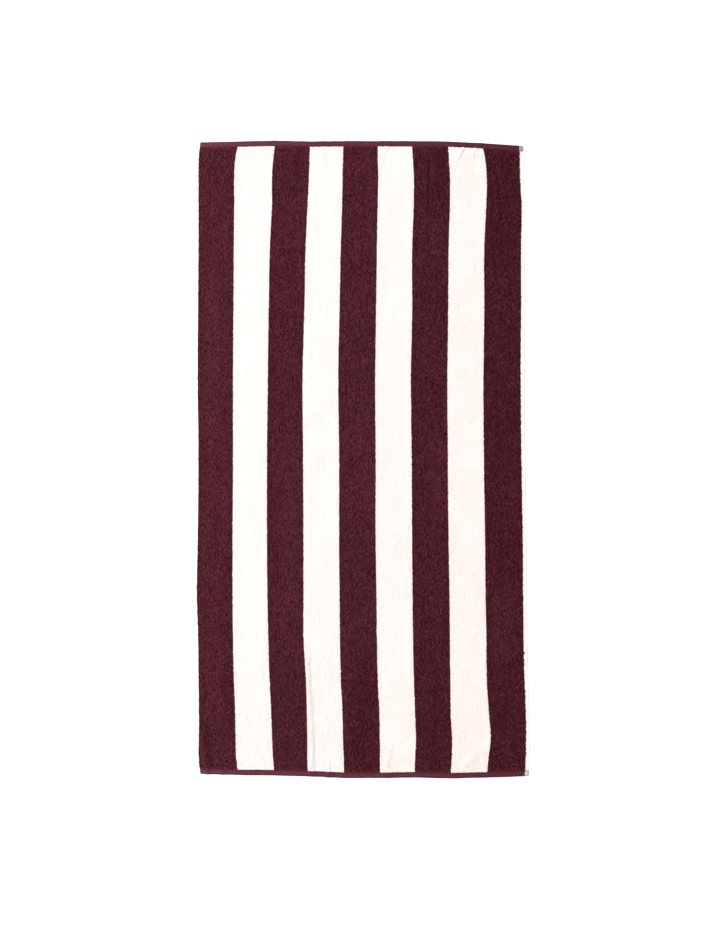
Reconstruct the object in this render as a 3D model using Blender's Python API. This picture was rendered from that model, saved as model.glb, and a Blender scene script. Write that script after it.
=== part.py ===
"""A beach towel: one woven terry cloth with nine lengthwise stripes, lying flat on the floor.

Metres, +Z up. X runs across the towel and Y along its length. The origin is on the floor
under the middle of the towel. The towel is one sheet: pile on its body, a folded flat-woven
hem at each end, and a bare white selvedge down its right side. Its outline wanders as real
cloth does, and a few soft ridges and creases cross it.
"""

import bmesh
import bpy
import numpy as np

MM = 0.001

# Driving sizes, in millimetres
LENGTH = 1500
SELVEDGE_WIDTH = 9
HEM_DEPTH = 13
PILE_THICKNESS = 3.4
HEM_THICKNESS = 2.4
SELVEDGE_THICKNESS = 1.8
RIM_ROUND = 0.8
PILE_START = 4  # the pile rises from the flat weave of a hem over this distance
STRIPES = 9  # burgundy and white by turns, burgundy first and last

# Sections across the towel, from its bottom end to its top one: the distance along from the
# middle, then where the colours change, in millimetres from the towel's centre line.
# Burgundy lies from left to b1, white from b1 to w1, and so on.
SECTIONS = np.array((
    # along, left,   b1,   w1,   b2,  w2,  b3,  w3,  b4,  w4, right
    (-750,   -382, -292, -207, -128, -43,  41, 123, 207, 293, 382),
    (-705,   -386, -298, -211, -130, -44,  41, 124, 210, 297, 384),
    (-660,   -385, -299, -213, -130, -46,  41, 126, 211, 302, 385),
    (-600,   -385, -300, -215, -131, -47,  40, 124, 208, 298, 384),
    (-520,   -386, -303, -219, -133, -51,  36, 121, 207, 293, 381),
    (-420,   -387, -305, -222, -139, -53,  34, 119, 206, 292, 379),
    (-320,   -390, -306, -224, -139, -54,  33, 118, 205, 290, 378),
    (-200,   -388, -306, -225, -139, -55,  31, 117, 203, 289, 377),
    (0,      -386, -305, -225, -140, -55,  31, 116, 201, 286, 374),
    (200,    -388, -305, -223, -141, -57,  30, 114, 200, 285, 372),
    (350,    -387, -304, -221, -137, -54,  32, 117, 202, 287, 373),
    (500,    -386, -303, -218, -134, -51,  34, 117, 203, 287, 373),
    (611,    -386, -302, -213, -129, -48,  36, 121, 206, 292, 374),
    (667,    -386, -302, -213, -126, -47,  37, 121, 206, 293, 371),
    (705,    -386, -300, -210, -125, -46,  36, 119, 204, 290, 370),
    (750,    -382, -291, -205, -123, -45,  36, 116, 201, 281, 369),
), float)

# How far each end strays along the towel from a straight line, where those colour lines
# meet it and at the selvedge's outer edge. It strays over the last stretch of the towel.
TOP_END = (-3, -1, 1, -1, 0, 0, 0, -1, -5, -11, -12)
BOTTOM_END = (9, 6, 5, 3, -1, -1, 0, -2, 0, 3, 4)
END_REACH = 320

# Soft ridges, where the cloth lifts off the floor, each with a straight crest. One that runs
# past an end crosses the hem there.
RIDGES = (
    # from x,  y,    to x,   y,  half width, height
    (-128,  -420,   -121, -800,  15,  4.5),  # the long one beside the second white stripe
    (-377,  -620,   -356, -770,  13,  3.0),  # bottom left corner
    (-336,  -640,   -312, -770,  12,  2.0),
    (236,   -742,    318, -664,  14,  3.0),  # bottom right corner
    (208,   -256,    290, -326,  13,  1.6),
    (240,      2,    284,  -44,  12,  1.4),
    (166,    735,    163,  585,  13,  1.8),
    (48,    -745,     63, -650,  12,  1.8),  # puckers above the bottom hem
    (-77,   -752,    -75, -670,  11,  1.6),
    (-92,    752,    -90,  690,  11,  1.6),  # puckers below the top hem
    (56,     752,     62,  688,  11,  1.8),
    (232,    752,    238,  690,  11,  1.8),
    (272,    752,    284,  696,  11,  1.6),
    (-126,   400,   -128,  190,  14,  1.5),
)

# Creases across the towel from its folding, where the pile is pressed down
CREASES = (
    # from x,  y,    to x,   y,  half width, depth
    (-520,     9,    520,    9,  14,  0.8),  # folded in half
    (-420,    69,    120,   69,  12,  0.4),
    (-460,  -172,   -180, -172,  12,  0.3),
)
FOLD_FADE = 0.25  # the share of its length over which a ridge or crease dies away at each end

# The mesh: cells across a stripe, more columns beside the long ridge, and one where the
# selvedge starts; then the length of a cell near the ends, on slanting ridges and elsewhere
STRIPE_CELLS = 7
LONG_RIDGE_COLUMNS = (2.93, 3.07, 3.21)
SELVEDGE_STEP = 0.3
END_CELL = 10
FINE_END = 110
SLANT_CELL = 10
SLANT_SHARE = 0.3  # a ridge slants if it moves this far across for its length along
BODY_CELL = 30
LEAST_GAP = 6  # between a body row and a row of a crease

BURGUNDY = (0.080, 0.017, 0.026, 1.0)
WHITE = (0.93, 0.88, 0.84, 1.0)
COTTON_ROUGHNESS = 0.95


def clear_scene():
    for old in list(bpy.data.objects):
        bpy.data.objects.remove(old, do_unlink=True)


def cotton(name, colour):
    """A matt cotton of one colour."""
    material = bpy.data.materials.new(name)
    material.use_nodes = True
    shader = material.node_tree.nodes["Principled BSDF"]
    shader.inputs["Base Color"].default_value = colour
    shader.inputs["Roughness"].default_value = COTTON_ROUGHNESS
    shader.inputs["Metallic"].default_value = 0.0
    return material


def soft_step(value):
    """0 below 0, 1 above 1, and a soft S between."""
    value = np.clip(value, 0, 1)
    return value * value * (3 - 2 * value)


def colour_lines(along):
    """Where each colour line, and the selvedge's outer edge, runs at these distances along."""
    stations, lines = SECTIONS[:, 0], SECTIONS[:, 1:]
    slopes = np.gradient(lines, stations, axis=0)
    low = np.clip(np.searchsorted(stations, along, side="right") - 1, 0, len(stations) - 2)
    high = low + 1
    gap = (stations[high] - stations[low])[:, None]
    t = (along - stations[low])[:, None] / gap
    from_low = (1 + 2 * t) * (1 - t) ** 2 * lines[low] + t * (1 - t) ** 2 * gap * slopes[low]
    from_high = t * t * (3 - 2 * t) * lines[high] - t * t * (1 - t) * gap * slopes[high]
    across = from_low + from_high
    return np.hstack((across, across[:, -1:] + SELVEDGE_WIDTH))


def slanting_stretches():
    """The stretches of the towel's length that hold a slanting ridge."""
    for from_x, from_y, to_x, to_y, half_width, _ in RIDGES:
        if abs(to_x - from_x) > SLANT_SHARE * abs(to_y - from_y):
            yield min(from_y, to_y) - half_width, max(from_y, to_y) + half_width


def mesh_rows():
    """Distances along the towel of the mesh's rows."""
    end = LENGTH / 2
    pile_end = end - HEM_DEPTH
    fine_end = end - FINE_END
    hem = (end, end - HEM_DEPTH / 2, pile_end)
    near_end = np.linspace(pile_end - PILE_START, fine_end, round(FINE_END / END_CELL))
    top = np.concatenate((hem, near_end))
    creases = np.array([y + part * wide / 2 for _, y, _, _, wide, _ in CREASES for part in (-1, 0, 1)])
    body = np.linspace(-fine_end, fine_end, round(2 * fine_end / SLANT_CELL) + 1)[1:-1]
    coarse = np.arange(len(body)) % (BODY_CELL // SLANT_CELL) == 0
    slanting = [any(low < row < high for low, high in slanting_stretches()) for row in body]
    clear = [np.abs(creases - row).min() > LEAST_GAP for row in body]
    return np.sort(np.concatenate((-top, body[(coarse | slanting) & clear], creases, top)))


def mesh_columns():
    """Places across of the mesh's columns, counted in colour lines from the left edge."""
    even = np.arange(STRIPES * STRIPE_CELLS + 1) / STRIPE_CELLS
    selvedge = (STRIPES + SELVEDGE_STEP, STRIPES + 1)
    return np.sort(np.concatenate((even, LONG_RIDGE_COLUMNS, selvedge)))


def seen_from_above(rows, columns):
    """The place of every mesh point on the floor, row by row."""
    lines = colour_lines(rows)
    line_numbers = np.arange(STRIPES + 2)
    stray = soft_step((np.abs(rows) - LENGTH / 2 + END_REACH) / END_REACH)
    points = []
    for row, along in enumerate(rows):
        end = TOP_END if along > 0 else BOTTOM_END
        x = np.interp(columns, line_numbers, lines[row])
        y = along + stray[row] * np.interp(columns, line_numbers, end)
        points.append(np.column_stack((x, y)))
    return np.concatenate(points)


def fold(points, start, end, half_width, amount):
    """The height of one soft fold at each point: rounded across, dying away at its ends."""
    run = np.subtract(end, start)
    length = np.hypot(*run)
    run = run / length
    offset = points - start
    distance = offset @ run
    aside = offset @ (-run[1], run[0])
    profile = np.clip(1 - (aside / half_width) ** 2, 0, None) ** 2
    fade = soft_step(np.minimum(distance, length - distance) / (length * FOLD_FADE))
    return amount * profile * fade


def folds(points, table):
    height = np.zeros(len(points))
    for from_x, from_y, to_x, to_y, half_width, amount in table:
        height += fold(points, (from_x, from_y), (to_x, to_y), half_width, amount)
    return height


def thickness(points, along, column):
    """Pile, hem or selvedge, and less of the pile where a crease presses it."""
    pile = soft_step((LENGTH / 2 - HEM_DEPTH - np.abs(along)) / PILE_START)
    thick = HEM_THICKNESS + (PILE_THICKNESS - HEM_THICKNESS) * pile
    thick -= folds(points, CREASES) * pile
    return np.where(column > STRIPES, SELVEDGE_THICKNESS, thick)


def is_white(stripe, along):
    """The selvedge is white to its ends, and a white stripe is up to the burgundy hems."""
    in_hem = abs(along) > LENGTH / 2 - HEM_DEPTH
    return stripe == STRIPES or (stripe % 2 == 1 and not in_hem)


def underside(rows, columns):
    """The towel's underside: a grid that faces up, its stripes in their own materials."""
    points = seen_from_above(rows, columns)
    middle = (points.min(axis=0) + points.max(axis=0)) / 2
    places = np.column_stack((points - middle, folds(points, RIDGES))) * MM
    cells_across, cells_along = len(columns) - 1, len(rows) - 1
    grid = bmesh.new()
    bmesh.ops.create_grid(grid, x_segments=cells_across, y_segments=cells_along, size=1)
    # The grid's points and faces come row by row from its near left corner.
    for vert, place in zip(grid.verts, places):
        vert.co = place
    for number, face in enumerate(grid.faces):
        row, column = divmod(number, cells_across)
        along = (rows[row] + rows[row + 1]) / 2
        face.material_index = int(is_white(int(columns[column]), along))
        face.smooth = True
    mesh = bpy.data.meshes.new("towel_cloth")
    grid.to_mesh(mesh)
    grid.free()
    mesh.materials.append(cotton("burgundy_terry", BURGUNDY))
    mesh.materials.append(cotton("white_terry", WHITE))
    return mesh, points


def build_towel():
    """One closed sheet: its thickness grows up from the underside, and its rim is rounded."""
    rows, columns = mesh_rows(), mesh_columns()
    mesh, points = underside(rows, columns)
    towel = bpy.data.objects.new("towel_cloth", mesh)
    bpy.context.scene.collection.objects.link(towel)

    thick = thickness(points, np.repeat(rows, len(columns)), np.tile(columns, len(rows)))
    share_of_pile = towel.vertex_groups.new(name="share_of_pile")
    for number, share in enumerate(thick / PILE_THICKNESS):
        share_of_pile.add([number], float(share), "REPLACE")

    solid = towel.modifiers.new("thickness", "SOLIDIFY")
    solid.thickness = PILE_THICKNESS * MM
    solid.offset = 1.0
    solid.vertex_group = share_of_pile.name

    rim = towel.modifiers.new("rounded_rim", "BEVEL")
    rim.width = RIM_ROUND * MM
    rim.segments = 2
    rim.limit_method = "ANGLE"
    rim.angle_limit = np.radians(60)


clear_scene()
build_towel()
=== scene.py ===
# %% [markdown]
# # A striped beach towel
# A beach towel is one length of terry cloth. A plain woven ground holds thousands of yarn loops
# on both faces, and the loops are dyed before weaving, so the stripes are in the yarn and not
# printed on it. Here the towel is laid flat and seen from straight above.
#
# The script imports the solid of the towel and hides it, and builds the cloth in the way it is
# made: ground, selvedge, loops, hems and the hem's stitches.

import bpy
import numpy as np
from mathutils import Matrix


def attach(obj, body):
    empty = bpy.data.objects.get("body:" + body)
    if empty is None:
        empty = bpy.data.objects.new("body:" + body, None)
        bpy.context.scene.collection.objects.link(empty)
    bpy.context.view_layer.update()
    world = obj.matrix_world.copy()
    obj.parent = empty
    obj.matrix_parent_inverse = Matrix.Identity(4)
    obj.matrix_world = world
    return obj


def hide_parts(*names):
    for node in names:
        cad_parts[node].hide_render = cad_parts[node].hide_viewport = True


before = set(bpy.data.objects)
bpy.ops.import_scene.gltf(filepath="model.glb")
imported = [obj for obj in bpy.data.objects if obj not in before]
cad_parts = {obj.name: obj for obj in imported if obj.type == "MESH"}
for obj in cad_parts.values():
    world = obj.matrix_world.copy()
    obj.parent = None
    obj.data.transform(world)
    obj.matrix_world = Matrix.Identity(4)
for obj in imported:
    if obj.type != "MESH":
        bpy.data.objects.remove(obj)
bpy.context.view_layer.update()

MM = 0.001

# %% [markdown]
# ## Sizes
# All sizes are in millimetres, as a maker would note them, and become metres only when a mesh
# is made. The loops are drawn about twice as large as real ones, to show at all from 5 m.

# %% Sizes in millimetres
LENGTH = 1500
SELVEDGE_WIDTH = 9
HEM_DEPTH = 13
HEM_THICKNESS = 2.4
STRIPES = 9  # burgundy and white by turns, burgundy first and last
LOOP_WIDE, LOOP_LONG = 2.75, 6.3  # from one loop to the next, across and along
END = LENGTH / 2
PILE_END = END - HEM_DEPTH
print("loops in one square metre:", round(1e6 / (LOOP_WIDE * LOOP_LONG)))

# %% [markdown]
# ## Where the colours change
# Cloth that is laid out by hand is never quite straight. Each row below is a section across
# the towel: how far along it is from the middle, then where the left edge, each change of colour
# and the right edge of the pile lie. The ends of the towel stray a little as well.

# %% The plan of the towel
SECTIONS = np.array((
    # along, left,   b1,   w1,   b2,  w2,  b3,  w3,  b4,  w4, right
    (-750,   -382, -292, -207, -128, -43,  41, 123, 207, 293, 382),
    (-705,   -386, -298, -211, -130, -44,  41, 124, 210, 297, 384),
    (-660,   -385, -299, -213, -130, -46,  41, 126, 211, 302, 385),
    (-600,   -385, -300, -215, -131, -47,  40, 124, 208, 298, 384),
    (-520,   -386, -303, -219, -133, -51,  36, 121, 207, 293, 381),
    (-420,   -387, -305, -222, -139, -53,  34, 119, 206, 292, 379),
    (-320,   -390, -306, -224, -139, -54,  33, 118, 205, 290, 378),
    (-200,   -388, -306, -225, -139, -55,  31, 117, 203, 289, 377),
    (0,      -386, -305, -225, -140, -55,  31, 116, 201, 286, 374),
    (200,    -388, -305, -223, -141, -57,  30, 114, 200, 285, 372),
    (350,    -387, -304, -221, -137, -54,  32, 117, 202, 287, 373),
    (500,    -386, -303, -218, -134, -51,  34, 117, 203, 287, 373),
    (611,    -386, -302, -213, -129, -48,  36, 121, 206, 292, 374),
    (667,    -386, -302, -213, -126, -47,  37, 121, 206, 293, 371),
    (705,    -386, -300, -210, -125, -46,  36, 119, 204, 290, 370),
    (750,    -382, -291, -205, -123, -45,  36, 116, 201, 281, 369),
), float)
# how far each end strays along the towel at each of these lines and at the outer edge
TOP_END = (-3, -1, 1, -1, 0, 0, 0, -1, -5, -11, -12)
BOTTOM_END = (9, 6, 5, 3, -1, -1, 0, -2, 0, 3, 4)
END_REACH = 320  # the ends stray over this much of the towel
PILE_EDGE, OUTER_EDGE = 9, 10  # the numbers of the last two lines
print("sections:", len(SECTIONS), "colour lines:", SECTIONS.shape[1] - 1)

# %% [markdown]
# ## From a place on the cloth to a place on the floor
# A point of the cloth is named by how far along the towel it is and by a line number across: 0
# is the left edge, 1 the first change of colour, and so on up to 9, where the pile stops, and 10,
# the outer edge of the selvedge. A smooth curve through the sections turns that into a place.

# %% Places on the floor
def soft_step(value):
    """0 below 0, 1 above 1, and a soft S between."""
    value = np.clip(value, 0, 1)
    return value * value * (3 - 2 * value)


def colour_lines(along):
    """Where each colour line, and the selvedge's outer edge, runs at these distances along."""
    stations, lines = SECTIONS[:, 0], SECTIONS[:, 1:]
    slopes = np.gradient(lines, stations, axis=0)
    low = np.clip(np.searchsorted(stations, along, side="right") - 1, 0, len(stations) - 2)
    high = low + 1
    gap = (stations[high] - stations[low])[:, None]
    t = (along - stations[low])[:, None] / gap
    from_low = (1 + 2 * t) * (1 - t) ** 2 * lines[low] + t * (1 - t) ** 2 * gap * slopes[low]
    from_high = t * t * (3 - 2 * t) * lines[high] - t * t * (1 - t) * gap * slopes[high]
    across = from_low + from_high
    return np.hstack((across, across[:, -1:] + SELVEDGE_WIDTH))


def on_floor(line, along):
    """The place on the floor, in millimetres, of the points at these line numbers and distances."""
    line, along = np.broadcast_arrays(np.asarray(line, float), np.asarray(along, float))
    lines = colour_lines(along.ravel())
    low = np.clip(np.floor(line.ravel()).astype(int), 0, lines.shape[1] - 2)
    share = line.ravel() - low
    point = np.arange(len(low))
    x = lines[point, low] * (1 - share) + lines[point, low + 1] * share
    numbers = np.arange(lines.shape[1])
    strays = [np.interp(line, numbers, end) for end in (TOP_END, BOTTOM_END)]
    near_end = soft_step((np.abs(along) - END + END_REACH) / END_REACH)
    return x.reshape(line.shape), along + near_end * np.where(along > 0, *strays)


rim = [on_floor(line, np.linspace(-END, END, 301)) for line in (0, OUTER_EDGE)]
rim += [on_floor(np.linspace(0, OUTER_EDGE, 101), end) for end in (-END, END)]
rim_x, rim_y = (np.concatenate([side[axis] for side in rim]) for axis in (0, 1))
CENTRE = np.array(((rim_x.min() + rim_x.max()) / 2, (rim_y.min() + rim_y.max()) / 2))
print("middle of the outline:", CENTRE.round(2), "mm")

# %% [markdown]
# ## Ridges and creases
# Where the cloth lifts off the floor it makes a soft ridge, and where it was folded for storage
# the loops stay pressed. Both have the same shape: a rounded crest, often steeper on one side,
# that may bow a little and dies away at its ends. The first side is on the left hand of somebody
# who walks along it.

# %% Ridges and creases
RIDGES = (
    # from x,  y,    to x,   y,  first side, second side, bow, height
    (-121,  -800,   -139,  -420,  13,   9,  -8,  4.4),  # beside the second white stripe
    (-356,  -790,   -385,  -610,  14,   8,   0,  3.6),  # bottom left corner
    (-318,  -790,   -350,  -650,  12,   8,   0,  2.6),
    (223,   -738,    327,  -660,  22,   8,   2,  2.8),  # bottom right corner
    (208,   -256,    290,  -326,  13,   9,   0,  1.8),
    (240,      2,    284,   -44,  12,   9,   0,  1.6),
    (44,    -770,     72,  -660,  11,   8,   0,  3.0),  # puckers above the bottom hem
    (60,    -790,     66,  -700,   9,   7,   0,  1.8),
    (-82,   -790,    -78,  -690,   9,   7,   0,  2.4),
    (-93,    690,    -90,   790,   9,   6,   0,  2.2),  # puckers below the top hem
    (44,     694,     74,   780,   9,   5,   0,  2.2),
    (216,    690,    262,   780,   9,   5,   0,  2.8),
    (250,    702,    300,   770,   9,   5,   0,  2.4),
    (-126,   190,   -124,   400,  14,  10,   0,  1.5),
)
CREASES = (
    # from x,  y,    to x,   y,  first side, second side, bow, depth
    (-520,     9,    520,    9,  14,  14,   0,  0.8),  # folded in half
    (-420,    69,    120,   69,  12,  12,   0,  0.4),
    (-460,  -172,   -180, -172,  12,  12,   0,  0.3),
    (155,    560,    156,  730,   5,   5,   0,  0.7),  # along the fourth burgundy stripe
)
STREAKS = (
    # from x,  y,    to x,   y,  first side, second side, bow, how much lighter the loops are drawn
    # the first streak is painted shade along the pressed crease
    (155,    560,    156,  730,   5,   5,   0, -0.45),  # along the crease of the fourth stripe
    (182,    580,    182,  780,  16,  20,   0, -0.22),
    (-355,    -40,  -352,  520,  24,  20,   0,  0.14),
    (-310,  -140,   -312, -760,  34,  30,   0, -0.12),
    (-372,  -600,   -350, -780,   8,   8,   0, -0.20),  # in the bottom left corner
    (-176,    80,   -168, -480,  44,  40,   0,  0.10),
    (-250,   500,   -244,  760,  40,  40,   0, -0.06),
    (330,    440,    328,  780,  50,  50,   0, -0.12),
    (330,   -500,    330, -280,  50,  50,   0,  0.20),
    (12,     130,     10, -160,  50,  50,   0,  0.10),
    (4,     -430,      2, -800,  50,  50,   0, -0.17),
    (182,     90,    180, -160,  40,  40,   0,  0.12),
    (172,   -440,    170, -800,  50,  50,   0, -0.08),
)
FOLD_FADE = 0.25  # the share of its length over which a ridge or crease dies away at each end


def folds(x, y, table):
    """The height, in millimetres, of all the soft folds of a table at each place."""
    height = np.zeros(np.shape(x))
    for from_x, from_y, to_x, to_y, first_side, second_side, bow, amount in table:
        length = np.hypot(to_x - from_x, to_y - from_y)
        run_x, run_y = (to_x - from_x) / length, (to_y - from_y) / length
        distance = (x - from_x) * run_x + (y - from_y) * run_y
        aside = (y - from_y) * run_x - (x - from_x) * run_y
        aside = aside - bow * 4 * np.clip(distance / length * (1 - distance / length), 0, 1)
        aside = aside / np.where(aside > 0, first_side, second_side)
        profile = np.clip(1 - aside ** 2, 0, None) ** 2
        from_tip = np.minimum(distance, length - distance)
        height += amount * profile * soft_step(from_tip / (length * FOLD_FADE))
    return height


print("ridges:", len(RIDGES), "creases:", len(CREASES), "streaks:", len(STREAKS))

# %% [markdown]
# ## Small unevenness
# No two places of a real cloth are alike. Smooth random values, with one number that fixes the
# draw, give the same gentle unevenness each time the script runs.

# %% Smooth random values
KNOTS = 401


def uneven(x, y, wide, long, draw):
    """Smooth random values from -1 to 1, in patches of this size in millimetres."""
    knots = np.random.default_rng(draw).uniform(-1, 1, (KNOTS, KNOTS))
    u, v = np.asarray(x) / wide + KNOTS, np.asarray(y) / long + KNOTS
    column, row = np.floor(u).astype(int), np.floor(v).astype(int)
    s, t = soft_step(u - column), soft_step(v - row)
    column, row = column % KNOTS, row % KNOTS
    right, above = (column + 1) % KNOTS, (row + 1) % KNOTS
    low = knots[row, column] * (1 - s) + knots[row, right] * s
    high = knots[above, column] * (1 - s) + knots[above, right] * s
    return low * (1 - t) + high * t


print("a few values:", uneven(np.arange(4) * 9, np.zeros(4), 20, 60, 1).round(2))

# %% [markdown]
# ## Starting each piece from a grid
# Cloth is a sheet, so each piece starts as a flat grid primitive whose points are then carried to
# their places. The grid's points and faces come row by row from its near left corner, which
# makes it easy to say which point of the cloth each one is.

# %% Grid, places and selection
def flat_grid(name, across, along):
    """A flat grid with this many cells each way."""
    bpy.ops.object.select_all(action="DESELECT")
    bpy.ops.mesh.primitive_grid_add(
        x_subdivisions=across, y_subdivisions=along, size=1, calc_uvs=False
    )
    piece = bpy.context.object
    piece.name = piece.data.name = name
    return piece


def carry(piece, x, y, z):
    """Moves the piece's points to these places, given in millimetres of the plan."""
    places = np.column_stack((np.ravel(x) - CENTRE[0], np.ravel(y) - CENTRE[1], np.ravel(z)))
    piece.data.vertices.foreach_set("co", (places * MM).ravel())
    piece.data.update()


def values_of(items, name, kind=int, each=1):
    """One value, or this many, of every item of a mesh."""
    values = np.empty(len(items) * each, kind)
    items.foreach_get(name, values)
    return values


def places_of(piece):
    """The piece's points in metres."""
    return values_of(piece.data.vertices, "co", np.float32, 3).reshape(-1, 3)


def many_of(name, shape_faces, size, count):
    """An object of this many copies of a small shape, whose points are still to be carried."""
    faces = [
        tuple(point + start for point in face)
        for start in range(0, size * count, size) for face in shape_faces
    ]
    mesh = bpy.data.meshes.new(name)
    mesh.from_pydata(np.zeros((size * count, 3)), [], faces)
    piece = bpy.data.objects.new(name, mesh)
    bpy.context.scene.collection.objects.link(piece)
    return piece


def pick(piece, *others):
    """Selects only these objects, and makes the first one active."""
    bpy.ops.object.select_all(action="DESELECT")
    for picked in (piece, *others):
        picked.select_set(True)
    bpy.context.view_layer.objects.active = piece


def edit_with(piece, edges=()):
    """Opens edit mode on the piece with only these edges selected."""
    pick(piece)
    for parts in (piece.data.vertices, piece.data.edges, piece.data.polygons):
        parts.foreach_set("select", np.zeros(len(parts), bool))
    for number in edges:
        piece.data.edges[int(number)].select = True
    bpy.ops.object.mode_set(mode="EDIT")
    bpy.ops.mesh.select_mode(type="EDGE" if len(edges) else "FACE")


def open_edges(piece):
    """The numbers of the edges that have a face on one side only."""
    edges = values_of(piece.data.loops, "edge_index")
    return np.flatnonzero(np.bincount(edges, minlength=len(piece.data.edges)) == 1)


print("grid helpers are ready")

# %% [markdown]
# ## The maps of a piece
# A UV map says where each point of the cloth lies in a flat picture. One map, cloth, is in
# millimetres of the woven cloth and places the weave. The other, OFBake, is folded into a unit
# square, so that a long narrow stripe fills it: it is cut in lengths that lie side by side. A
# number noted at each point tells a material how light, or how mixed, the yarn is there.

# %% Maps
MAP_MARGIN = 0.004


def corner_points(piece):
    """For each face corner: the number of its point, and the number of its face."""
    corners = values_of(piece.data.polygons, "loop_total")
    points = values_of(piece.data.loops, "vertex_index")
    return points, np.repeat(np.arange(len(corners)), corners)


def lay_map(piece, name, places):
    """Adds a UV map with these places, one for each face corner."""
    layer = piece.data.uv_layers.new(name=name, do_init=False)
    layer.data.foreach_set("uv", np.asarray(places, np.float32).ravel())


def lay_cloth_map(piece):
    """Adds the map cloth, with every point where it lies on the floor."""
    lay_map(piece, "cloth", places_of(piece)[corner_points(piece)[0]][:, :2] / MM)


def note(piece, name, values, points=slice(None)):
    """Notes a number at each of these points, or at all of them, for the material to read."""
    noted = np.zeros(len(piece.data.vertices))
    noted[points] = values
    piece.data.attributes.new(name, "FLOAT", "POINT").data.foreach_set("value", noted)


def in_lengths(across, along, number, lengths):
    """Places 0 to 1 across and along in the unit square, cut in lengths set side by side."""
    u = (number + MAP_MARGIN + across * (1 - 2 * MAP_MARGIN * lengths)) / lengths
    return np.column_stack((u, along))


print("maps: cloth in millimetres, OFBake in the unit square")

# %% [markdown]
# ## The ground
# The ground is the plain weave that holds every loop. It is a thin sheet between the loops of
# the two faces, so little of it shows. A grid gives its lower face, and Solidify its thickness.

# %% The ground cloth
GROUND_LOW, GROUND_THICK = 0.3, 0.4
GROUND_CELLS = (84, 76)
GROUND_LINES = (0.03, 9.02)  # from under the outer loops to under the selvedge
GROUND_END = END - 2  # inside the fold of a hem
GROUND_LIFT, BACK_LIFT = 0.7, 0.4  # how far the ground and the other face follow a ridge
line = np.linspace(*GROUND_LINES, GROUND_CELLS[0] + 1)[None, :]
along = np.linspace(-GROUND_END, GROUND_END, GROUND_CELLS[1] + 1)[:, None]
x, y = on_floor(line, along)
ground = flat_grid("towel_ground", *GROUND_CELLS)
carry(ground, x, y, GROUND_LOW + GROUND_LIFT * folds(x, y, RIDGES))
sheet = ground.modifiers.new("thickness", "SOLIDIFY")
sheet.thickness = GROUND_THICK * MM
sheet.offset = 1
bpy.ops.object.modifier_apply(modifier=sheet.name)
bpy.ops.object.shade_smooth()
print("ground faces:", len(ground.data.polygons))

# %% [markdown]
# ## Bands that wrap round a profile
# A hem is the end of the cloth folded under, and a selvedge is a flat strip with a thicker
# outer cord. Both are long bands with one cross-section, so a grid is wrapped round the profile,
# its seam is merged, and its two ends are closed.

# %% Wrapping a band
LENGTHS_HIGH = 0.98  # how much of OFBake's height the lengths take
CAP_WIDE, CAP_PLACE, CAP_STEP = 0.005, np.array((0.01, 0.99)), np.array((0.1, 0))  # above them


def wrapped_band(name, x, y, z, station, girth, lengths):
    """Makes a closed band of points in rows round its profile, the last row on the first."""
    rows, columns = x.shape
    band = flat_grid(name, columns - 1, rows - 1)
    carry(band, x, y, z)
    points, faces = corner_points(band)
    row, column = np.divmod(points, columns)
    lay_map(band, "cloth", np.column_stack((station[column], girth[row])))
    run = (station - station[0]) / (station[-1] - station[0]) * lengths
    number = np.floor(run[faces % (columns - 1)] + 1e-6)
    across, along = girth[row] / girth[-1], (run[column] - number) * LENGTHS_HIGH
    lay_map(band, "OFBake", in_lengths(across, along, number, lengths))
    edit_with(band)
    bpy.ops.mesh.select_all(action="SELECT")
    bpy.ops.mesh.remove_doubles(threshold=1e-6)
    bpy.ops.mesh.fill_holes(sides=0)
    bpy.ops.mesh.select_all(action="SELECT")
    bpy.ops.mesh.normals_make_consistent(inside=False)
    bpy.ops.object.mode_set(mode="OBJECT")
    bpy.ops.object.shade_smooth()
    lay_caps(band, len(faces) // 4)
    return band


def lay_caps(band, sides):
    """Gives the two end faces of a band their own corner of its maps."""
    points, faces = corner_points(band)
    places = places_of(band)[points] / MM
    for end in range(sides, len(band.data.polygons)):
        corner = np.flatnonzero(faces == end)
        across = places[corner][:, :2] - places[corner][:, :2].min(axis=0)
        wide = np.hypot(*across.T)
        high = places[corner][:, 2] - places[corner][:, 2].min()
        for layer in band.data.uv_layers:
            scale, shift = 1, 0
            if layer.name == "OFBake":
                scale, shift = CAP_WIDE / wide.max(), CAP_PLACE + CAP_STEP * (end - sides)
            for number, u, v in zip(corner, wide, high):
                layer.data[int(number)].uv = np.array((u, v)) * scale + shift


def girth_of(profile):
    """How far round the profile each of its points is."""
    steps = np.hypot(*np.diff(profile, axis=0).T)
    return np.concatenate(((0,), np.cumsum(steps)))


print("bands are wrapped round a closed profile")

# %% [markdown]
# ## The selvedge
# The right side ends in a bare woven strip, white, about 9 mm wide. Its outer cord is a little
# thicker, where the weft turns back. The strip starts just under the loops of the last stripe, and
# its ends are pressed flat under the tips of the hems.

# %% The selvedge
SELVEDGE_PROFILE = np.array((
    # outwards, up
    (-1.5, 0.60), (1.0, 0.10), (5.0, 0.00), (7.6, 0.00), (8.6, 0.20), (9.0, 0.80), (8.95, 1.35),
    (8.6, 1.75), (8.0, 1.82), (7.4, 1.62), (6.7, 1.30), (4.0, 1.25), (1.0, 1.35), (-1.5, 1.40),
    (-1.5, 0.60),
))
SELVEDGE_STEP = 3.0
SELVEDGE_END = END - 11.5
CORD_SWAY, SELVEDGE_UNEVEN = 0.35, 0.12  # how far the cord strays, and the height differs
PRESSED_FROM, PRESSED_OVER, PRESSED = END - 22, 8, 0.45  # its flattened ends
station = np.linspace(-SELVEDGE_END, SELVEDGE_END, round(2 * SELVEDGE_END / SELVEDGE_STEP) + 1)
out, up = SELVEDGE_PROFILE[:, :1], SELVEDGE_PROFILE[:, 1:]
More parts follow.
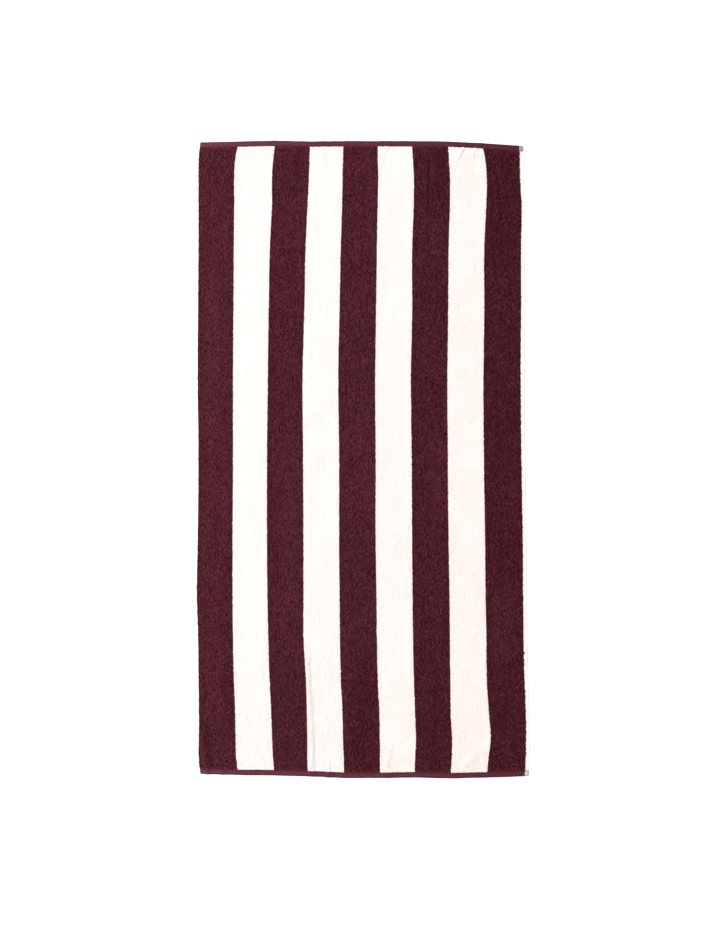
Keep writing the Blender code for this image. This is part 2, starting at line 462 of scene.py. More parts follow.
x, y = on_floor(PILE_EDGE, station[None, :])
x, y = x + out, y + 0 * out
cord = soft_step((out - 6.5) / 2)
x = x + CORD_SWAY * cord * uneven(y, 0 * y, 7, 1, 31)
flattened = 1 - PRESSED * soft_step((np.abs(station) - PRESSED_FROM) / PRESSED_OVER)
z = up * (1 + SELVEDGE_UNEVEN * uneven(x, y, 5, 6, 32)) * flattened + folds(x, y, RIDGES)
selvedge = wrapped_band("selvedge", x, y, z, station, girth_of(SELVEDGE_PROFILE), 8)
print("selvedge faces:", len(selvedge.data.polygons))

# %% [markdown]
# ## The hems
# Each end is woven flat, without loops, in burgundy. It is turned under and sewn down, so its
# outer edge is a soft round fold, and the row of stitches pulls a shallow groove along it. A
# paler yarn crosses the burgundy one. Less of it is drawn on the fold, in the groove, at the inner
# edge and towards the right, as painted shade.

# %% The two hems
HEM_PROFILE = np.array((
    # inwards from the fold, up, how much of the pale yarn shows, less on the fold,
    #  in the groove and at the inner edge as painted shade
    (15.0, 0.30, 0.5), (9.0, 0.00, 1.0), (4.0, 0.00, 1.0), (1.5, 0.05, 0.6), (0.5, 0.40, 0.2),
    (0.1, 1.00, 0.1), (0.15, 1.60, 0.1), (0.7, 2.15, 0.2), (1.8, 2.42, 0.5), (3.6, 2.50, 1.1),
    (6.0, 2.42, 1.2), (7.8, 2.32, 1.1), (8.8, 2.10, 0.8), (9.8, 2.30, 1.0), (11.4, 2.42, 0.8),
    (13.2, 2.30, 0.5), (15.0, 1.50, 0.5), (15.0, 0.30, 0.5),
))
STITCH_LINE = 8.8  # how far from the fold the stitches run
HEM_CELL = 3.0
TIP_LINE = PILE_EDGE  # where the burgundy yarn ends and the bare selvedge is turned in
TIP_THINNER, ENDS_CLOSED = 0.22, 0.35  # shares of the thickness
HEM_BUMP, HEM_SWELL, HEM_SWAY = 0.10, 0.12, 0.25  # its height differs, and its edge strays


def hem_lines(end):
    """Line numbers of even cells along a hem, one of them exactly where its tip starts."""
    numbers = np.arange(OUTER_EDGE + 1)
    across = on_floor(numbers, end * END)[0]
    even = np.arange(across[0], across[-1] - HEM_CELL / 2, HEM_CELL)
    return np.unique(np.concatenate((np.interp(even, across, numbers), (TIP_LINE, OUTER_EDGE))))


def make_hem(name, end, draw, pale):
    """The hem at one end of the towel: 1 for the top end and -1 for the bottom one."""
    inward, up = HEM_PROFILE[:, :1], HEM_PROFILE[:, 1:2]
    line = hem_lines(end)
    bare = soft_step((line - TIP_LINE) / 0.1)
    x, y = on_floor(line[None, :], end * (END - inward * (1 - 0.1 * bare)))
    station = x[0] - CENTRE[0]
    closing = 1 - ENDS_CLOSED * ((line == 0) | (line == OUTER_EDGE))
    middle = HEM_THICKNESS / 2
    z = middle + (up - middle) * closing * (1 - TIP_THINNER * bare)
    z = z - middle * TIP_THINNER * bare
    top = soft_step(up / HEM_THICKNESS)
    bumps, swells = uneven(x, y, 9, 6, draw), uneven(x, y, 45, 40, draw + 1)
    z = z + top * (HEM_BUMP * bumps + HEM_SWELL * swells)
    y = y + HEM_SWAY * uneven(x, 0 * x, 16, 1, draw + 2)
    z = np.maximum(z, 0) + folds(x, y, RIDGES)
    hem = wrapped_band(name, x, y, z, station, girth_of(HEM_PROFILE[:, :2]), 5)
    corners, _ = corner_points(hem)
    places = values_of(hem.data.uv_layers["cloth"].data, "uv", np.float32, 2)
    run, round_it = places.reshape(-1, 2).T
    tip = station[line == TIP_LINE][0]
    share = np.interp(run, (station[0], 0, tip, tip + 1), pale)
    share = share * np.interp(round_it, girth_of(HEM_PROFILE[:, :2]), HEM_PROFILE[:, 2])
    note(hem, "pale_yarn_and_painted_shade", share, corners)
    return hem


hems = [
    # how much of the pale yarn shows at the left end, in the middle, at the right, and on the tip;
    # the fall towards the right is painted shade
    make_hem("hem_top", 1, 41, (1.14, 0.67, 0.36, 0.1)),
    make_hem("hem_bottom", -1, 51, (0.87, 0.76, 0.42, 1.6)),
]
for hem in hems:
    print(hem.name, "faces:", len(hem.data.polygons))

# %% [markdown]
# ## The hem's stitches
# A lockstitch shows as a row of short threads, each pulled into the cloth at both ends. One
# stitch is made from a sphere, drawn out and pressed down at its ends, and then copied along
# the groove of each hem. All the stitches of a hem are one mesh.

# %% One stitch, copied along each hem
STITCH_LONG, STITCH_WIDE, STITCH_PITCH = 3.0, 0.75, 3.9
STITCH_UP, STITCH_DIP = 2.28, 0.30  # how high a stitch lies, and how deep its ends are pulled
STITCHED_LINES = (0.03, 8.94)  # from edge to edge, short of the tip
STITCH_LENGTHS, STITCH_TURN = (0.88, 1.08), 0.06  # how much the stitches differ
STRIPE_WIDE = 84  # about as wide as one stripe, which is one line number


def one_stitch():
    """The points, in millimetres, and faces of one stitch that lies along x."""
    bpy.ops.object.select_all(action="DESELECT")
    bpy.ops.mesh.primitive_uv_sphere_add(segments=6, ring_count=5, radius=0.5, calc_uvs=False)
    stitch = bpy.context.object
    bpy.ops.object.mode_set(mode="EDIT")
    bpy.ops.mesh.select_all(action="SELECT")
    bpy.ops.transform.rotate(value=np.pi / 2, orient_axis="Y", center_override=(0, 0, 0))
    bpy.ops.transform.resize(value=(STITCH_LONG, STITCH_WIDE, STITCH_WIDE * 0.8))
    bpy.ops.object.mode_set(mode="OBJECT")
    points = places_of(stitch).astype(float)
    points[:, 2] -= STITCH_DIP * (2 * points[:, 0] / STITCH_LONG) ** 2
    faces = [tuple(face.vertices) for face in stitch.data.polygons]
    bpy.data.meshes.remove(stitch.data)
    return points, faces


def turned(x, y, run, aside, turn):
    """The places this far along and beside lines that start at x, y with this turn."""
    cosine, sine = np.cos(turn), np.sin(turn)
    return x + run * cosine - aside * sine, y + run * sine + aside * cosine


def sew(name, hem_end, draw):
    """A row of stitches along a hem, each with a slightly different turn and length."""
    shape, faces = one_stitch()
    line = np.arange(*STITCHED_LINES, STITCH_PITCH / STRIPE_WIDE)
    along = hem_end * (END - STITCH_LINE)
    x, y = on_floor(line, along)
    ahead_x, ahead_y = on_floor(line + 0.01, along)
    chance = np.random.default_rng(draw)
    turn = np.arctan2(ahead_y - y, ahead_x - x) + chance.normal(0, STITCH_TURN, len(line))
    long = chance.uniform(*STITCH_LENGTHS, len(line))
    run = shape[:, 0] * long[:, None]
    x, y = turned(x[:, None], y[:, None], run, shape[:, 1], turn[:, None])
    row = many_of(name, faces, len(shape), len(line))
    carry(row, x, y, STITCH_UP + shape[:, 2] + folds(x, y, RIDGES))
    row.data.shade_smooth()
    return row


stitches = [sew("stitches_top", 1, 61), sew("stitches_bottom", -1, 62)]
print("faces of stitches:", [len(row.data.polygons) for row in stitches])

# %% [markdown]
# ## One loop of yarn
# Seen from above, a loop is a short arch of soft yarn that rises out of the cloth, leans over and
# dives back in. There are about seventy thousand of them, so one loop is kept to eight points: two
# ends that stay buried, and two rings of three points between them. The sides of the arch are
# round once they are shaded smooth.

# %% The shape of one loop
LOOP_POINTS = np.array((
    # along the yarn, aside, up
    (-0.49, 0.00, -0.75),  # one end
    (-0.31, 0.00, 0.88),   # first ring: its back, left and right
    (-0.36, 0.48, 0.05),
    (-0.33, -0.48, 0.05),
    (0.31, 0.00, 0.97),    # second ring
    (0.33, 0.48, 0.05),
    (0.36, -0.48, 0.05),
    (0.49, 0.00, -0.75),   # the other end
))
LOOP_FACES = (
    (0, 1, 2), (0, 3, 1), (0, 2, 3),
    (1, 4, 5, 2), (1, 3, 6, 4), (2, 5, 6, 3),
    (7, 5, 4), (7, 4, 6), (7, 6, 5),
)
LOOP_CORNERS = np.concatenate(LOOP_FACES)
print("points and faces of one loop:", len(LOOP_POINTS), len(LOOP_FACES))

# %% [markdown]
# ## How the loops stand
# Loops stand in lengthwise rows, and every second row is half a loop further on. Each loop has
# its own length, height, turn and lean, because rows that are too regular look knitted. The rows
# beside a border stand a little closer and are drawn darker as painted shade, which draws a firm,
# finely toothed line.

# %% Where each loop stands
LOOPS_ALONG = round(2 * PILE_END / LOOP_LONG)
LEFT_EDGE = 0  # the number of the stripe that the rim loops belong to
# the length, width and height of a loop, least and most
LENGTHS, WIDTHS, HEIGHTS = (7.4, 9.6), (2.7, 3.7), (1.0, 1.9)
TURN, LEAN, LEAN_ASIDE = 0.34, 0.45, 0.35
UNEVEN_ACROSS, UNEVEN_AT_EDGE, UNEVEN_ALONG = 0.16, 0.08, 0.15  # in spaces between loops
POINT_STRAY = 0.05
BASE = 1.9  # how high the loops start to arch
BEDS = (1.45, 1.8)  # how high the cloth is between them in a burgundy and in a white stripe
BED_OVER_GROUND = 0.3  # at least
NAP = (1.0, 0.8)  # the white loops lie flatter than the burgundy ones
# the burgundy stripes, and the white ones, are drawn darker from left to right as painted shade
# where the light falls off
STRIPE_PAINTED_SHADE = (0.06, 0.45, 0.0, 0.3, 0.0, 0.1, -0.08, -0.15, -0.16)
# the tone strays at random; the loops beside a border and round the rim are darker as painted shade
TONE_STRAY, EDGE_PAINTED_SHADE, RIM_PAINTED_SHADE = 0.10, -0.15, -0.3
END_LOOPS = 3.0  # how far from the end of the pile the last full loops stand
END_CLOSER, END_IN, END_LOW = 1.5, (0.8, 2.0), 0.55  # the short ones stand closer and lower
RIM_SPACING, RIM_STRAY, RIM_IN, RIM_UP = 0.6, 1.0, (0.6, 1.6), (0.6, 1.3)  # loops of the rim
EDGE_TURN = 0.4  # the outermost loops turn this much as far as the others
SWELL = 0.2  # millimetres, in the height of the cloth from place to place
FLECK_SHARE, FLECK_TONE = 0.012, 0.5  # a few loops of paler yarn
LOOP_PAINTED_SHADING = (0.2, 0.5, 0.35, 0.35, 0.5, 0.35, 0.35, 0.2)  # painted highlight on its back, painted shade on its sides and buried ends
POINT_TONE = 0.25  # and the yarn is uneven


def width_of(stripe):
    """The mean width of a stripe."""
    return np.diff(SECTIONS[:, stripe + 1:stripe + 3]).mean()


def loop_places(stripe, chance):
    """Line number, distance along and tone of each loop of a stripe."""
    across = round(width_of(stripe) / LOOP_WIDE)
    column, row = (grid.ravel() for grid in np.meshgrid(np.arange(across), np.arange(LOOPS_ALONG)))
    step = np.where(column % 2, 0.25, -0.25)
    outer = (column == 0) | (column == across - 1)
    column, row = np.append(column, column[outer]), np.append(row, row[outer])
    step = np.append(step, -step[outer])
    outer = (column == 0) | (column == across - 1)
    count = len(column)
    stray = chance.normal(0, 1, count) * np.where(outer, UNEVEN_AT_EDGE, UNEVEN_ACROSS)
    line = stripe + (column + 0.5 + stray) / across
    along = -PILE_END + (row + 0.5 + step + chance.normal(0, UNEVEN_ALONG, count)) * LOOP_LONG
    tone = STRIPE_PAINTED_SHADE[stripe] + chance.normal(0, TONE_STRAY, count) + EDGE_PAINTED_SHADE * outer
    tone += FLECK_TONE * (chance.random(count) < FLECK_SHARE)
    return line, np.clip(along, END_LOOPS - PILE_END, PILE_END - END_LOOPS), tone


def one_of_each(x, y, base, tone, chance, short=1.0, turn=TURN):
    """Each loop's place, base height and tone, with its length, width, height, turn and lean."""
    count = len(x)
    return np.array((
        x, y, base, tone, chance.uniform(*LENGTHS, count) * short,
        chance.uniform(*WIDTHS, count), chance.uniform(*HEIGHTS, count) * short,
        np.pi / 2 + chance.normal(0, turn, count), chance.normal(0, LEAN, count),
    ))


def loops(stripe):
    """Places and tones of all points of a stripe's loops, eight to a loop."""
    chance = np.random.default_rng(10 + stripe)
    line, along, tone = loop_places(stripe, chance)
    x, y = on_floor(line, along)
    # lighter and darker streaks, the first of them painted shade along a crease
    tone = tone + folds(x, y, STREAKS)
    base = BASE - folds(x, y, CREASES) + SWELL * uneven(x, y, 14, 40, 70)
    table = np.hstack((one_of_each(x, y, base, tone, chance), end_loops(stripe, chance)))
    if stripe == LEFT_EDGE:
        table = np.hstack((table, rim_loops(chance)))
    x, y, base, tone, long, wide, high, turn, lean = table[:, :, None]
    far_from_end = soft_step((PILE_END + 1.5 - np.abs(y)) / 5)
    high = high * NAP[stripe % 2] * (END_LOW + (1 - END_LOW) * far_from_end)
    if stripe == LEFT_EDGE:
        outermost = x < on_floor(0, y)[0] + LOOP_WIDE
        turn = np.where(outermost, np.pi / 2 + EDGE_TURN * (turn - np.pi / 2), turn)
    shape = LOOP_POINTS[None] + chance.normal(0, POINT_STRAY, (len(x), len(LOOP_POINTS), 3))
    run = shape[:, :, 0] * long
    aside = (shape[:, :, 1] + LEAN_ASIDE * lean * np.maximum(shape[:, :, 2], 0)) * wide
    x, y = turned(x, y, run, aside, turn)
    up = base + shape[:, :, 2] * high + folds(x, y, RIDGES)
    # each loop's back gets a painted highlight, and its sides and ends painted shade
    tone = tone + LOOP_PAINTED_SHADING + chance.normal(0, POINT_TONE, shape.shape[:2])
    return np.stack((x, y, np.maximum(up, 0.1)), axis=2), tone


def bed_height(stripe, x, y):
    """How high a stripe's bed is above the floor, where the cloth lies flat."""
    least = GROUND_LOW + GROUND_THICK + BED_OVER_GROUND
    return np.maximum(BEDS[stripe % 2] - folds(x, y, CREASES), least)


def end_loops(stripe, chance):
    """Short loops close together along both ends of the pile."""
    count = round(END_CLOSER * width_of(stripe) / LOOP_WIDE)
    line = stripe + (np.tile(np.arange(count), 2) + 0.5) / count
    along = np.repeat((-1, 1), count) * (PILE_END - chance.uniform(*END_IN, 2 * count))
    # the short loops by the hem are darker as painted shade
    tone = np.full(2 * count, STRIPE_PAINTED_SHADE[stripe] + EDGE_PAINTED_SHADE)
    base = np.full(2 * count, BASE - 0.1)
    return one_of_each(*on_floor(line, along), base, tone, chance, short=0.6)


def rim_loops(chance):
    """Lower loops that wrap the left edge of the cloth."""
    row = np.arange(END_LOOPS - PILE_END, PILE_END - END_LOOPS, LOOP_LONG * RIM_SPACING)
    row_stray = chance.uniform(-RIM_STRAY, RIM_STRAY, len(row))
    x, y = on_floor(np.zeros(len(row)), row + row_stray)
    x = x + chance.uniform(*RIM_IN, len(row))
    base = chance.uniform(*RIM_UP, len(row))
    # the rim loops are darker as painted shade
    return one_of_each(x, y, base, np.full(len(row), RIM_PAINTED_SHADE), chance, short=0.85, turn=0.08)


print("loops of the first stripe:", len(loops(0)[1]))

# %% [markdown]
# ## A whole stripe
# Under its loops a stripe has a bed, the part of the cloth that the yarn runs through. The bed is
# closed all round: a finer grid above and a coarser one below, which is the towel's other face,
# joined and bridged along their open edges. The loops then become part of the same mesh.

# %% The bed and its loops
UPPER_CELL, LOWER_CELL = (6.0, 10.5), (8.0, 12.0)  # across and along
RING_IN, RING_UP = 0.5, 1.1  # a last ring of points that rounds off the bed's rim
LEFT_IN, LEFT_UP = 1.2, 1.4  # where the bed ends under the rim loops
BED_PAINTED_SHADE = (-0.1, 0.4)  # painted shade of the bed between the loops, in a burgundy and in a white stripe
UPPER_BUMP, LOWER_BUMP = 0.15, 0.25


def ringed(values, step_rows=0.0, step_columns=0.0):
    """Repeats the outer points all round, each moved inwards by these steps."""
    ring = np.pad(values, 1, mode="edge")
    ring[0], ring[-1] = ring[0] + step_rows, ring[-1] - step_rows
    ring[:, 0], ring[:, -1] = ring[:, 0] + step_columns, ring[:, -1] - step_columns
    return ring


def bed_grid(stripe, cell):
    """Places of an even grid over a stripe."""
    line = np.linspace(stripe, stripe + 1, round(width_of(stripe) / cell[0]) + 1)
    along = np.linspace(-PILE_END, PILE_END, round(2 * PILE_END / cell[1]) + 1)
    x, y = on_floor(line[None, :], along[:, None])
    if stripe == LEFT_EDGE:
        x[:, 0] += LEFT_IN
    return x, y


def upper_bed(stripe):
    """Places of the bed's upper face, with the ring round it."""
    x, y = bed_grid(stripe, UPPER_CELL)
    height = bed_height(stripe, x, y) + UPPER_BUMP * uneven(x, y, 4.5, 5, 73)
    if stripe == LEFT_EDGE:
        height[:, 0] = LEFT_UP
    x, y, height = ringed(x, 0, RING_IN), ringed(y, RING_IN, 0), ringed(height)
    for edge in (np.s_[0], np.s_[-1], np.s_[:, 0], np.s_[:, -1]):
        height[edge] = RING_UP
    return x, y, height + folds(x, y, RIDGES)


def lower_bed(stripe):
    """Places of the bed's lower face, the gently bumpy other face of the towel."""
    x, y = bed_grid(stripe, LOWER_CELL)
    bumps = LOWER_BUMP * np.abs(uneven(x, y, 6, 8, 74))
    return x, y, bumps + BACK_LIFT * folds(x, y, RIDGES)


def join(piece, other):
    """Makes the other object part of the piece's mesh."""
    pick(piece, other)
    bpy.ops.object.join()


def make_bed(name, stripe):
    """The closed bed of a stripe, with the rows and columns of its two grids."""
    grids = []
    for face, part in ((upper_bed(stripe), name), (lower_bed(stripe), "other_face")):
        rows, columns = face[0].shape
        grids.append((rows, columns))
        piece = flat_grid(part, columns - 1, rows - 1)
        carry(piece, *face)
    bed = bpy.data.objects[name]
    join(bed, piece)
    edit_with(bed, edges=open_edges(bed))
    bpy.ops.mesh.bridge_edge_loops()
    bpy.ops.mesh.select_all(action="SELECT")
    bpy.ops.mesh.normals_make_consistent(inside=False)
    bpy.ops.object.mode_set(mode="OBJECT")
    return bed, grids


def make_stripe(stripe):
    """One stripe of terry, with the tone and the maps of every point."""
    name = f"pile_{'white' if stripe % 2 else 'burgundy'}_{stripe // 2 + 1}"
    piece, grids = make_bed(name, stripe)
    bed_points, bed_faces = len(piece.data.vertices), len(piece.data.polygons)
    places, tone = loops(stripe)
    yarns = many_of("loops", LOOP_FACES, len(LOOP_POINTS), len(places))
    carry(yarns, *places.reshape(-1, 3).T)
    join(piece, yarns)
    bpy.ops.object.shade_smooth()
    tones = np.concatenate((np.full(bed_points, BED_PAINTED_SHADE[stripe % 2]), tone.ravel()))
    note(piece, "loop_tone_and_painted_light", tones)
    map_stripe(piece, stripe, grids, bed_faces, len(places))
    return piece


# %% [markdown]
# ## Maps of a stripe
# Three maps are laid on a stripe. In cloth every point lies where it is on the towel. In yarn a
# loop lies straight, in millimetres along and across it, for the twist of its fibres. In OFBake
# each loop is unrolled into a small cell of its own, and the bed lies in two strips below.

# %% Laying the maps of a stripe
BACK, LEFT, RIGHT, BACK_AGAIN = 0.02, 0.40, 0.60, 0.98  # round a loop, in its cell
UNROLLED = np.array((
    # a loop's corners in its cell, face by face in the order of LOOP_FACES
    (0.02, 0.21), (0.30, BACK), (0.30, LEFT),
    (0.02, 0.79), (0.30, RIGHT), (0.30, BACK_AGAIN),
    (0.02, 0.50), (0.30, LEFT), (0.30, RIGHT),
    (0.30, BACK), (0.70, BACK), (0.70, LEFT), (0.30, LEFT),
    (0.30, BACK_AGAIN), (0.30, RIGHT), (0.70, RIGHT), (0.70, BACK_AGAIN),
    (0.30, LEFT), (0.70, LEFT), (0.70, RIGHT), (0.30, RIGHT),
    (0.98, 0.21), (0.70, LEFT), (0.70, BACK),
    (0.98, 0.79), (0.70, BACK_AGAIN), (0.70, RIGHT),
    (0.98, 0.50), (0.70, RIGHT), (0.70, LEFT),
))
STRIP = 0.08  # how much of the map each strip of the bed takes
STRIP_MARGIN, LOWER_INSET = 0.002, 0.008
MIDDLE_LOOP = (8.5, 3.2)  # length and width


def map_bed(grids, corners, faces):
    """The OFBake places of the bed's corners: its upper face in one strip, the rest in another."""
    (up_rows, up_columns), (low_rows, low_columns) = grids
    above = corners < up_rows * up_columns
    row, column = np.divmod(
        np.where(above, corners, corners - up_rows * up_columns),
        np.where(above, up_columns, low_columns),
    )
    along = row / np.where(above, up_rows - 1, low_rows - 1)
    across = column / np.where(above, up_columns - 1, low_columns - 1)
    upper_face = (np.bincount(faces, weights=above) == np.bincount(faces))[faces]
    inset = np.where(above, 0.0, LOWER_INSET)
    u = STRIP_MARGIN + inset + along * (1 - 2 * STRIP_MARGIN - 2 * inset)
    v = np.where(upper_face, STRIP, STRIP_MARGIN) + inset
    v += across * (STRIP - 3 * STRIP_MARGIN - 2 * inset)
    return np.column_stack((u, v))


def map_loops(count):
    """The OFBake places of all corners of this many loops, each in its own cell."""
    share = 1 - 2 * STRIP
    across = int(np.ceil(np.sqrt(count / share)))
    down = int(np.ceil(count / across))
    row, column = np.divmod(np.arange(count)[:, None], across)
    u = (column + UNROLLED[:, 0]) / across
    v = 2 * STRIP + (row + UNROLLED[:, 1]) * share / down
    return np.column_stack((u.ravel(), v.ravel()))


def map_stripe(piece, stripe, grids, bed_faces, count):
    """Lays the three maps on a stripe with this many loops."""
    corners, faces = corner_points(piece)
    lay_cloth_map(piece)
    of_bed = faces < bed_faces
    chance = np.random.default_rng(500 + stripe)
    yarn = LOOP_POINTS[LOOP_CORNERS][:, :2] * MIDDLE_LOOP + chance.uniform(0, 500, (count, 1, 2))
    lay_map(piece, "yarn", np.concatenate((np.zeros((of_bed.sum(), 2)), yarn.reshape(-1, 2))))
    bed = map_bed(grids, corners[of_bed], faces[of_bed])
    lay_map(piece, "OFBake", np.concatenate((bed, map_loops(count))))


stripes = [make_stripe(stripe) for stripe in range(STRIPES)]
for piece in stripes:
    print(piece.name, "faces:", len(piece.data.polygons), "open edges:", len(open_edges(piece)))

# %% [markdown]
# ## Adding shader nodes
# Each material below is a small network of nodes. One function adds a node, sets it, and has its
# sockets filled or linked, so that a material reads as a list of what happens to the colour. Hex
# colours are as a screen shows them, and shaders need linear values.

# %% Nodes and colours
def fill(tree, node, sockets):
    """Each of these sockets of the node gets a value, or a link from another one."""
    for socket, value in sockets.items():
        if isinstance(value, bpy.types.NodeSocket):
            tree.links.new(value, node.inputs[socket])
        else:
            node.inputs[socket].default_value = value


def add(tree, kind, sockets, **settings):
    """Adds a node with these settings, and fills its sockets."""
    node = tree.nodes.new("ShaderNode" + kind)
    for setting, value in settings.items():
        setattr(node, setting, value)
    fill(tree, node, sockets)
    return node


def finish_yarn(tree, shader, shade, colours, height, depth, roughness, specular):
    """Mixes two colours by the shade, and raises the surface by the height."""
    colour = add(tree, "Mix", {0: shade, 6: colours[0], 7: colours[1]}, data_type="RGBA")
    relief = add(tree, "Bump", {"Height": height, "Distance": depth * MM, "Strength": 0.6})
    fill(tree, shader, {
        "Base Color": colour.outputs[2], "Normal": relief.outputs["Normal"],
        "Roughness": roughness, "Specular IOR Level": specular,
    })


def from_hex(code):
    """The linear colour of an sRGB hex value."""
    parts = np.array([int(code[place:place + 2], 16) for place in (1, 3, 5)]) / 255
    linear = np.where(parts <= 0.04045, parts / 12.92, ((parts + 0.055) / 1.055) ** 2.4)
    return (*(float(part) for part in linear), 1.0)


def new_material(name):
    """An empty material with its shader, ready for its nodes."""
    material = bpy.data.materials.new(name)
    material.use_nodes = True
    return material, material.node_tree, material.node_tree.nodes["Principled BSDF"]


print("burgundy, linear:", [round(part, 4) for part in from_hex("#50222b")])

# %% [markdown]
# ## Terry loops
# Ring-spun cotton, dyed in the yarn and woven as loops. The eye sees a dull, deep colour: light
# that gets between the loops is lost, and their backs are lighter. Both are painted into the tone
# at each point, as painted shade and painted highlight. White yarn lets some light through. Runs
# of loops lean together, which draws faint streaks along the towel.

# %% Terry in burgundy and in white
TWIST = 1.1  # millimetres from one turn of the yarn's twist to the next, drawn coarse to show
TWIST_ANGLE = 35  # degrees
ONE_WAVE = 0.31  # at this scale a wave of the texture is one unit long
FIBRE = (1.6, 1.4)  # length and width of the slubs in it


def terry(name, deep, light, streaks, fibre, glow=0.0):
    """Looped cotton that goes from its deep to its light colour, by a tone with painted shade in
    it.
    """
    material, tree, shader = new_material(name)
    cloth = add(tree, "UVMap", {}, uv_map="cloth").outputs["UV"]
    yarn = add(tree, "UVMap", {}, uv_map="yarn").outputs["UV"]
    shade = add(tree, "Attribute", {}, attribute_name="loop_tone_and_painted_light").outputs["Fac"]
    patches = [(cloth, *streak) for streak in streaks] + [(yarn, *FIBRE, fibre)]
    for places, wide, long, share in patches:
        spread = add(tree, "Mapping", {"Vector": places, "Scale": (1 / wide, 1 / long, 1)})
        patch = add(tree, "TexNoise", {
            "Vector": spread.outputs["Vector"], "Scale": 1.0, "Detail": 1.0,
        })
        change = add(tree, "Math", {0: patch.outputs["Fac"], 1: 0.5}, operation="SUBTRACT")
        shade = add(tree, "Math", {0: change.outputs["Value"], 1: share, 2: shade},
                    operation="MULTIPLY_ADD").outputs["Value"]
    spun = add(tree, "Mapping", {
        "Vector": yarn, "Scale": (1 / TWIST, 1 / TWIST, 1),
        "Rotation": (0, 0, np.radians(TWIST_ANGLE)),
    })
    twist = add(tree, "TexWave", {
        "Vector": spun.outputs["Vector"], "Scale": ONE_WAVE, "Distortion": 1.5, "Detail": 1.0,
    })
    finish_yarn(tree, shader, shade, (deep, light), twist.outputs["Fac"], depth=0.25,
                roughness=0.95, specular=0.05)
    fill(tree, shader, {
        "Subsurface Weight": glow, "Subsurface Radius": (1, 1, 1), "Subsurface Scale": 0.8 * MM,
    })
    return material


burgundy = terry(
    "yarn_dyed_terry_burgundy", from_hex("#390d17"), from_hex("#6b343f"),
    streaks=((2.5, 24, 0.35), (5, 60, 0.3), (16, 160, 0.2)), fibre=2.4,
)
white = terry(
    "yarn_dyed_terry_white", from_hex("#ffeeea"), from_hex("#fff4f0"),
    streaks=((6, 60, 0.3), (20, 120, 0.3)), fibre=0.5, glow=0.5,
)
print("terry materials:", burgundy.name, white.name)

# %% [markdown]
# ## Flat weave
# A hem has no loops. Burgundy warp and paler weft cross one another every 0.8 mm or so, so from
# far away it looks pinker and flatter than the pile. Over the bare selvedge only the weft is
# burgundy, which gives a pale, speckled tip. Threads are drawn a little coarse, to show at all.

# %% Woven hems, selvedge and thread
THREAD = 1.1  # millimetres from thread to thread, as drawn
SLUB = (1 / 0.3, 1 / 0.9)  # millimetres, length and width of the yarn's uneven places


def weave(name, under, over, depth):
    """A plain weave of two yarns. Each piece says how much of the second one shows, painted shade
    included.
    """
    material, tree, shader = new_material(name)
    cloth = add(tree, "UVMap", {}, uv_map="cloth").outputs["UV"]
    threads = add(tree, "Mapping", {"Vector": cloth, "Scale": (1 / THREAD, 1 / THREAD, 1)})
    threads = threads.outputs["Vector"]
    crossing = add(tree, "TexChecker", {
        "Vector": threads, "Scale": 1.0, "Color1": (1, 1, 1, 1), "Color2": (0, 0, 0, 1),
    })
    spread = add(tree, "Mapping", {"Vector": cloth, "Scale": (1 / SLUB[0], 1 / SLUB[1], 1)})
    slubs = add(tree, "TexNoise", {"Vector": spread.outputs["Vector"], "Scale": 1.0, "Detail": 2.0})
    flecks = add(tree, "MapRange", {
        "Value": slubs.outputs["Fac"], "From Min": 0.35, "From Max": 0.75, "To Min": 0.1,
        "To Max": 1.0,
    })
    pale = add(tree, "Attribute", {}, attribute_name="pale_yarn_and_painted_shade").outputs["Fac"]
    shade = add(tree, "Math", {0: crossing.outputs["Fac"], 1: 0.5, 2: 0.5},
                operation="MULTIPLY_ADD")
    for share in (flecks.outputs["Result"], pale):
        shade = add(tree, "Math", {0: shade.outputs["Value"], 1: share}, operation="MULTIPLY")
    waves = [
        add(tree, "TexWave", {"Vector": threads, "Scale": 0.5},
            bands_direction=direction).outputs["Fac"]
        for direction in ("X", "Y")
    ]
    height = add(tree, "Math", {0: waves[0], 1: waves[1]}, operation="MAXIMUM")
    finish_yarn(tree, shader, shade.outputs["Value"], (under, over), height.outputs["Value"],
                depth, roughness=0.9, specular=0.1)
    return material


hem_weave = weave("flat_woven_hem_burgundy", from_hex("#3d151f"), from_hex("#8a4a5a"), 0.35)
hem_tip = weave("flat_woven_hem_tip", from_hex("#9d8c91"), from_hex("#e6d6d6"), 0.35)
bare_weave = weave("flat_woven_selvedge_white", from_hex("#f1ebe7"), from_hex("#b39c9e"), 0.3)
thread = weave("sewing_thread_burgundy", from_hex("#552331"), from_hex("#824a59"), 0.1)
print("woven materials:", hem_weave.name, hem_tip.name, bare_weave.name, thread.name)

# %% [markdown]
# ## Dressing the pieces
# Each piece gets its material, and all of them ride on the towel's one body. The ground is the
# sheet of cloth, and the rest goes with it.

# %% Materials and the sheet
BARE_PALE, THREAD_PALE = 0.1, 0.6  # how much of the second yarn of their weaves shows
DULL_TOP, DULL_BOTTOM, CORD_PAINTED_SHADE = 0.15, 0.7, 0.4  # how much more of it on the selvedge's ends, and on its cord as painted shade


def dress(piece, material, slot):
    """Gives a piece its material and its body. The slot that it stands for is not used."""
    piece.data.materials.append(material)
    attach(piece, "root")


dress(ground, bare_weave, "white_terry")
note(ground, "pale_yarn_and_painted_shade", BARE_PALE)
lay_cloth_map(ground)
dress(selvedge, bare_weave, "white_terry")
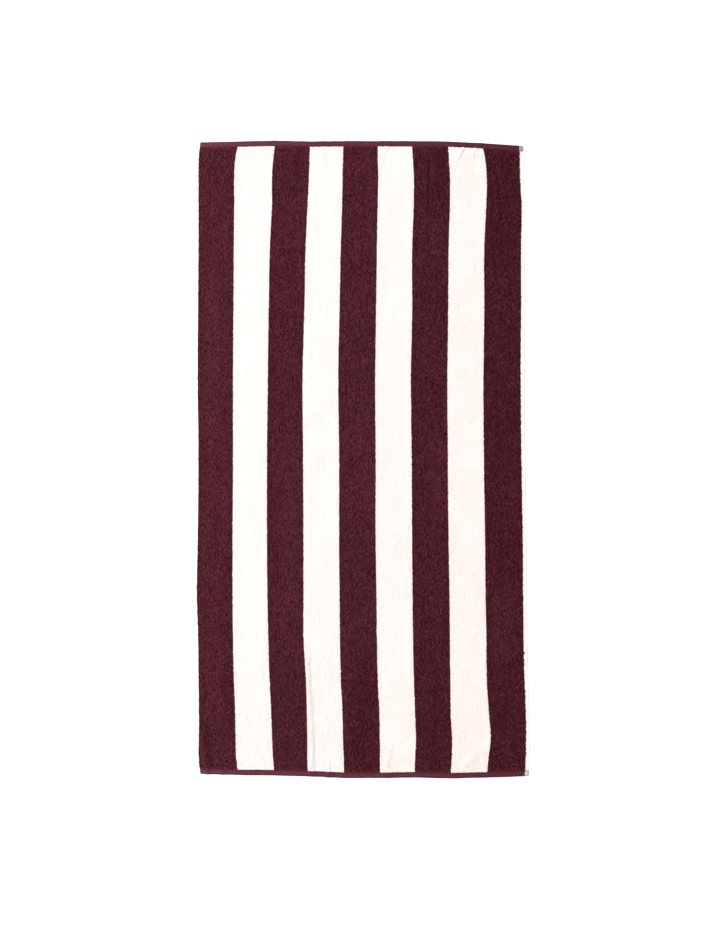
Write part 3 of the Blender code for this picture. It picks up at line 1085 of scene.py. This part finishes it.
# the selvedge is a little duller at its top end, much more so at its bottom end, where more of
# the second yarn shows, and its cord is drawn darker as painted shade
from_top, from_bottom = (END - end * places_of(selvedge)[:, 1] / MM for end in (1, -1))
dull = DULL_TOP * soft_step((28 - from_top) / 14)
dull += DULL_BOTTOM * soft_step((30 - from_bottom) / 16)
x, y = places_of(selvedge)[:, :2].T / MM + CENTRE[:, None]
dull += CORD_PAINTED_SHADE * soft_step((x - on_floor(PILE_EDGE, y)[0] - 2) / 3)
note(selvedge, "pale_yarn_and_painted_shade", BARE_PALE + dull)
for number, piece in enumerate(stripes):
    dress(piece, *((white, "white_terry") if number % 2 else (burgundy, "burgundy_terry")))
for piece in hems:
    dress(piece, hem_weave, "hem_weave")
    piece.data.materials.append(hem_tip)
    for face in piece.data.polygons:
        if face.center.x > (on_floor(TIP_LINE, END * np.sign(face.center.y))[0] - CENTRE[0]) * MM:
            face.material_index = 1
for piece in stitches:
    dress(piece, thread, "hem_weave")
    note(piece, "pale_yarn_and_painted_shade", THREAD_PALE)
    lay_cloth_map(piece)
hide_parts("towel_cloth")

# %% [markdown]
# ## Floor, light and camera
# The towel lies on a plain white floor under a wide, soft studio light that is a little stronger
# from the left. The camera looks straight down from about 5 m, so the outline keeps its shape.

# %% The studio
FLOOR_SIZE, FLOOR_DROP = 60, 0.0003  # metres. It lies just clear of the cloth
SKY, SOFTBOX_WATTS = 0.93, 466
SOFTBOX_PLACE, SOFTBOX_SIZE = (-5.2, 1.8, 4.8), (3.2, 4.8)
CAMERA_PLACE, LENS, SENSOR = (-0.0079, -0.0106, 5.164), 85, 36
bpy.ops.object.select_all(action="DESELECT")
bpy.ops.mesh.primitive_plane_add(size=FLOOR_SIZE, location=(0, 0, -FLOOR_DROP))
floor = bpy.context.object
floor.name = "studio_floor"
floor_white, tree, shader = new_material("studio_floor_white")
fill(tree, shader, {
    "Base Color": (0.97, 0.97, 0.97, 1), "Roughness": 1.0, "Specular IOR Level": 0.0,
})
floor.data.materials.append(floor_white)

world = bpy.data.worlds.new("studio_light")
world.use_nodes = True
tree = world.node_tree
fill(tree, tree.nodes["Background"], {"Color": (1, 1, 1, 1), "Strength": SKY})
bpy.context.scene.world = world

bpy.ops.object.light_add(type="AREA", location=SOFTBOX_PLACE)
softbox = bpy.context.object
softbox.name = "softbox"
softbox.data.shape = "RECTANGLE"
softbox.data.size, softbox.data.size_y = SOFTBOX_SIZE
softbox.data.energy = SOFTBOX_WATTS
softbox.rotation_euler = (-softbox.location).to_track_quat("-Z", "Y").to_euler()
softbox.visible_camera = False

bpy.ops.object.camera_add(location=CAMERA_PLACE, rotation=(0, 0, 0))
camera = bpy.context.object
camera.data.lens = LENS
camera.data.sensor_width = SENSOR
camera.data.clip_end = 200
bpy.context.scene.camera = camera
bpy.context.scene.view_settings.view_transform = "Standard"
print("camera height:", round(camera.location.z, 3), "m")
